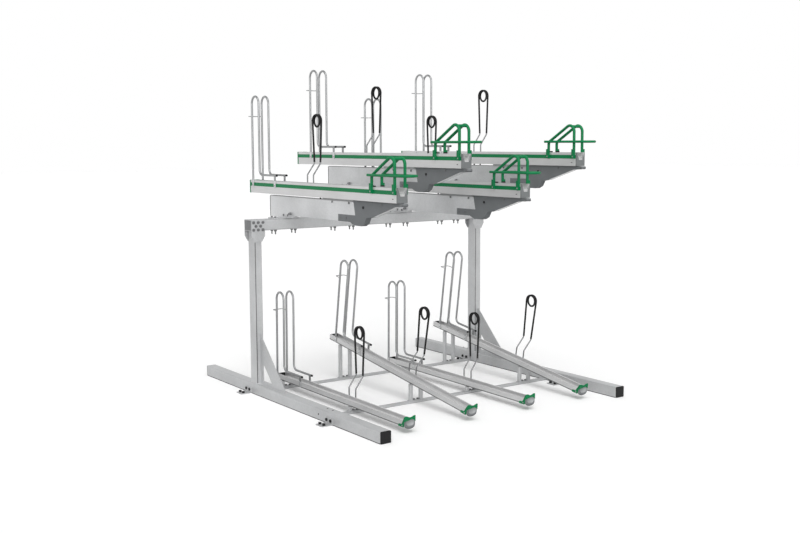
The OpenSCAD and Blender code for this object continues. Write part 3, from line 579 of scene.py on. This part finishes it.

# A dark toe along the foot of each lower tray's sides paints the shade under its bottom edge
shade_toe_section = [(33, -40), (34, -41.6), (40.3, -40.4), (40.4, -35), (39.5, -33.5)]
tray_plug = [(38.5, -1), (38.5, -39), (-38.5, -39), (-38.5, -1)]
for i in range(4):
    rear = 184 if i % 2 else 112
    for edge, side in ((-1, "left"), (1, "right")):
        rim = skin(f"lower_toe_{i + 1}_{side}", [[(edge * x, y, z) for x, z in shade_toe_section]
                                                 for y in (rear, -1504)])
        rim.data.transform(lower_place(i))
        fit(rim, dark_zinc)
    plug = rounded(skin(f"lower_plug_{i + 1}", [[(x, y, z) for x, z in tray_plug]
                                                for y in (rear, rear + 3)]), 1.2)
    plug.data.transform(lower_place(i))
    fit(plug, black_plastic)
set_in(skin("foot_nut", [hexagon(17, 0, 9), hexagon(17, 1), hexagon(17, 7.5),
                         hexagon(17, 8.5, 8.2)]), dark_zinc,
       [stand((i - 1.5) * pitch + edge * 16, y, 24) for i in range(4) for edge in (-1, 1)
        for y in (10, -930)])

# LOWER COLLARS
# A green frame is pushed over the end of each lower tray: a threshold with a hump and an
# ear, and a slanted band down each side with a screwed tab. It is moulded nylon.
green_paint = powder_coat("green_paint", (3, 126, 74), 0.42, 0)
threshold = [(-43, 20), (-41.5, 24.5), (-36, 26.8), (-27, 27.5), (-19, 26.5), (-11, 23), (-4, 19.5),
             (4, 18.5), (13, 19.5), (20, 22.5), (27, 26), (34, 27.5), (43, 28), (43, -12),
             (38, -10), (33, -6), (29, -1), (24, 3), (17, 5.5), (10, 5), (2, 3), (-8, 0.5),
             (-20, -1.8), (-31, -3.5), (-38, -5), (-43, -7)]
side_band = [(-1570, 24), (-1569, 20), (-1557, 2), (-1547, -16), (-1541, -27), (-1512, -28),
             (-1505, -34), (-1505, -45), (-1559, -45), (-1564, -40), (-1567, -24), (-1570, -4)]
band_t = 3.6

collar = [rounded(skin("threshold", [[(x, y, z) for x, z in threshold]
                                     for y in (collar_rear, collar_front)]), 1.6)]
for edge in (-1, 1):
    inner = edge * 39.5
    collar.append(rounded(skin("band", [[(x, y, z) for y, z in side_band]
                                        for x in (inner, inner + edge * band_t)]), 1.0))
collar.append(rounded(skin("sole", [[(x, y, z) for x, z in ((-43, -40), (43, -40), (43, -44),
                                                            (-43, -44))]
                                    for y in (-1508, -1560)]), 0.8))
set_in(joined(collar, "lower_collar"), green_paint, [lower_place(i) for i in range(4)],
       stands_for=("lower_collars",))

screw_profile = [(5.2, 0), (5.2, 0.7), (4.6, 1.8), (3.2, 2.6), (2.4, 2.7), (2.2, 1.3)]
set_in(spun("collar_screw", screw_profile), bright_zinc,
       [lower_place(i) @ stand(edge * (39.5 + band_t), -1548, -35, "X" if edge > 0 else "-X")
        for i in range(4) for edge in (-1, 1)])

# LOWER CUPS
# A short grey cup under the threshold guides the wheel in. It is moulded, with a thick
# rounded lip, and its dish is made paler than the lip, as painted light falling into it.
grey_plastic = moulded("grey_plastic", (126, 129, 130), 0.5)
# The dish takes a paler grey than the lip: painted light on the surface that faces up into the
# light
painted_light_dish_plastic = moulded("painted_light_dish", (172, 174, 175), 0.45)
cup_front, cup_rear = -1580, -1567
lip_outer = [(40.5, -4), (40.5, -20), (40.3, -34), (37.5, -43), (30.5, -50), (18, -55), (5, -56.5)]
lip_inner = [(31, -4), (31, -16), (30, -22), (26.5, -27.5), (20, -32), (11, -34.3), (3, -35)]


def both_sides(half):
    """A half outline from the right edge to the middle, and its mirror image after it."""
    return half + [(-x, z) for x, z in reversed(half)]


lip = []
for (ox, oz), (ix, iz) in zip(both_sides(lip_outer), both_sides(lip_inner)):
    face_x, face_z = (0.45 * ix + 0.55 * ox, 0.45 * iz + 0.55 * oz)
    lip.append([(ix, cup_rear, iz), (ix, cup_front + 1, iz),
                (0.92 * ix + 0.08 * ox, cup_front, 0.92 * iz + 0.08 * oz),
                (face_x, cup_front, face_z),
                (0.1 * ix + 0.9 * ox, cup_front + 4, 0.1 * iz + 0.9 * oz),
                (ox, cup_front + 6, oz), (ox, cup_rear, oz)])
set_in(rounded(skin("lower_cup", lip), 0.8, 50), grey_plastic,
       [lower_place(i) for i in range(4)], stands_for=("lower_noses",))
dish_rim = both_sides(lip_inner) + [(-31, 2), (-12, 5), (12, 7), (31, 2)]
dish = []
for step in range(7):
    turn = math.radians(15 * step)
    keep = max(math.cos(turn), 0.04)
    dish.append([(x * keep, cup_front + 1 + 22 * math.sin(turn), -10 + (z + 10) * keep)
                 for x, z in dish_rim])
set_in(skin("cup_dish", dish, capped=False), painted_light_dish_plastic, [lower_place(i) for i in range(4)])

# WHEEL HOLDERS
# Two hoops of 16 mm tube stand on straps at each tray's sides, with a wire behind. They are
# welded up and dipped in zinc, set darker than the frame's to paint the dark reflections on the
# round tubes.
holder_zinc = galvanised("holder_zinc", 158, metallic=0.8, clarity=0.08)
rod_steel = galvanised("rod_steel", 132, metallic=0.85, clarity=0.1)
rubber = moulded("black_rubber", (18, 18, 19), 0.55)
dress(holder_zinc, "lower_holders")
dress(rod_steel, "lower_lock_rods")
dress(rubber, "lower_sleeves")
for place_number in range(1, 5):
    dress(holder_zinc, f"holder_{place_number}")
    dress(rod_steel, f"lock_rod_{place_number}")
    dress(rubber, f"sleeves_{place_number}")


strap_gap = 343


def strap_plates(name, seat, rear, drop, body):
    """The pale plates that hold a holder's straps to its tray, each with a round screw."""
    plates, screws = [], []
    for y in (rear, rear - strap_gap):
        for edge in (-1, 1):
            plates.append(seat @ stand(edge * 43.5, y, 0))
            screws.append(seat @ stand(edge * 46, y, -drop + 13, "X" if edge > 0 else "-X"))
    set_in(bar(name, (-2.6, -13, -drop), (2.6, 13, 3), 1.4), sheet_zinc, plates, body)
    set_in(spun(f"{name}_screw", screw_profile), bright_zinc, screws, body)


for i in range(4):
    strap_plates(f"lower_plate_{i + 1}", lower_place(i), 94, 34, "frame")
    strap_plates(f"upper_plate_{i + 1}", upper_place(i), 389, 46, f"tray_{i + 1}")

# UPPER TRAYS
# A deep aluminium section runs on the arm: gutter above, runner rail below. A green strip
# is pressed into each side, and a green cap closes the rear.
tray_rears = [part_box(f"trim_{place_number}")[1][1] * 1000 for place_number in range(1, 5)]


def stop_screw(name):
    """A black hexagon screw that stops the tray against the arm's front."""
    return skin(name, [hexagon(11, 0, 5.6), hexagon(11, 6.5), hexagon(11, 8.6, 5.8),
                       hexagon(11, 9.4, 4.9), hexagon(5, 9.4, 2.6), hexagon(5, 6, 2.6)])


for i in range(4):
    body = f"tray_{i + 1}"
    dress(aluminium, body)
    dress(green_paint, f"trim_{i + 1}")
    dress(grey_plastic, f"nose_{i + 1}")
    rear = tray_rears[i]
    sleeve = [[(sx * (39.9 + grow), y, -48 + sz * (48.4 + grow)) for sx, sz in
               ((1, 1), (-1, 1), (-1, -1), (1, -1))]
              for y, grow in ((rear - 14, 0), (rear - 14, 0.8), (rear - 0.2, 0.8), (rear - 0.2, 0))]
    cap = rounded(skin(f"rear_cap_{i + 1}", sleeve, closed=True), 0.5)
    cap.data.transform(upper_place(i))
    fit(cap, green_paint, body)
    set_in(stop_screw(f"stop_screw_{i + 1}"), black_steel,
           [upper_place(i) @ stand(edge * 30.75, -380 if i % 2 else -587, -96, "-Z")
            for edge in (-1, 1)], body)
    # A dark oval on each side of the tray paints the shade inside its slot
    slot = [(8 * math.cos(a), 2.8 * math.sin(a))
            for a in (k * math.tau / 20 for k in range(20))]
    set_in(skin(f"side_slot_{i + 1}", [[(0, y * keep, z * keep) for y, z in slot]
                                       for keep in (1.0, 0.96)]
                + [[(0.5, y * 0.8, z * 0.8) for y, z in slot]]), rubber_and_painted_hole_shade,
           [upper_place(i) @ Matrix.Translation((edge * 0.0395, -1.480, -0.071))
            @ Matrix.Rotation(0 if edge > 0 else math.pi, 4, "Z") for edge in (-1, 1)], body)

# UPPER NOSES
# A grey moulded plug closes each tray's front. Its tapered notch holds a bright sheet scoop
# that leads the tyre up into the gutter.
scoop_front = [(-33.6, -1), (-27.5, -18), (-21.7, -35), (-15.8, -52.4), (15.8, -52.4),
               (21.7, -35), (27.5, -18), (33.6, -1)]
scoop_rear = [(-34.8, -3.4), (-34.8, -13), (-34.6, -22), (-21.2, -36.6), (21.2, -36.6),
              (34.6, -22), (34.8, -13), (34.8, -3.4)]
for i in range(4):
    rows = []
    for step in range(5):
        share = step / 4
        rows.append([(fx + (rx - fx) * share, -1529.6 + 28 * share, fz + (rz - fz) * share)
                     for (fx, fz), (rx, rz) in zip(scoop_front, scoop_rear)])
    sheet = [[(x, y, z) for x, y, z in row] + [(x * 0.97, y, z + 0.7) for x, y, z in row[::-1]]
             for row in rows]
    scoop = skin(f"scoop_{i + 1}", sheet)
    scoop.data.transform(upper_place(i))
    fit(scoop, aluminium, f"tray_{i + 1}")

# HANDLES
# Each upper tray is pulled out and tilted by a green frame of bent tube, clamped to the
# tray's sides at its four feet. The clamps have a screw each.
post_front, post_rear = -1502, -1243
rear_post_top, slant, crest_r = 72, 30, 45
crest = rear_post_top + (post_rear - post_front) * math.tan(math.radians(slant))
crest_low = crest - crest_r * math.tan(math.radians(90 - slant))
bridge_back, bridge_rise, grip_r = 22, 38.5, 10
clamp_face, clamp_screw_z = 54.5, -30


def tube(name, path, radius, sides=16):
    """A bent tube in millimetres along a path of points."""
    rings = []
    for k, point in enumerate(path):
        way = (Vector(path[min(k + 1, len(path) - 1)]) - Vector(path[max(k - 1, 0)])).normalized()
        side = way.cross(Vector((0, 1, 0)) if abs(way.y) < 0.9 else Vector((0, 0, 1))).normalized()
        up = way.cross(side)
        rings.append([Vector(point) + (side * math.cos(a) + up * math.sin(a)) * radius
                      for a in (j * math.tau / sides for j in range(sides))])
    return skin(name, rings)


for i in range(4):
    body = f"tray_{i + 1}"
    seat = upper_place(i)
    dress(green_paint, f"handle_{i + 1}")
    bridge = tube(f"bridge_{i + 1}", [(x, post_front + bridge_back, crest_low + bridge_rise)
                                      for x in (-41, -20, 0, 20, 41)], grip_r)
    bridge.data.transform(seat)
    fit(bridge, green_paint, body)
    set_in(spun(f"clamp_screw_{i + 1}", screw_profile), bright_zinc,
           [seat @ stand(edge * clamp_face, y, clamp_screw_z, "X" if edge > 0 else "-X")
            for y in (post_front, post_rear) for edge in (-1, 1)], body)
    set_in(bar(f"clamp_rubber_{i + 1}", (-5, -16, 0), (5, 16, 9), 3), rubber_and_painted_hole_shade,
           [seat @ stand(edge * 33.5, post_rear - 19, 0) for edge in (-1, 1)], body)

# SLIDES
# A hidden cradle pivots on the arm's tilt axle, and the tray rolls out on its runners.
for i in range(4):
    dress(grey_paint, f"cradle_{i + 1}")
    dress(black_plastic, f"rollers_{i + 1}")
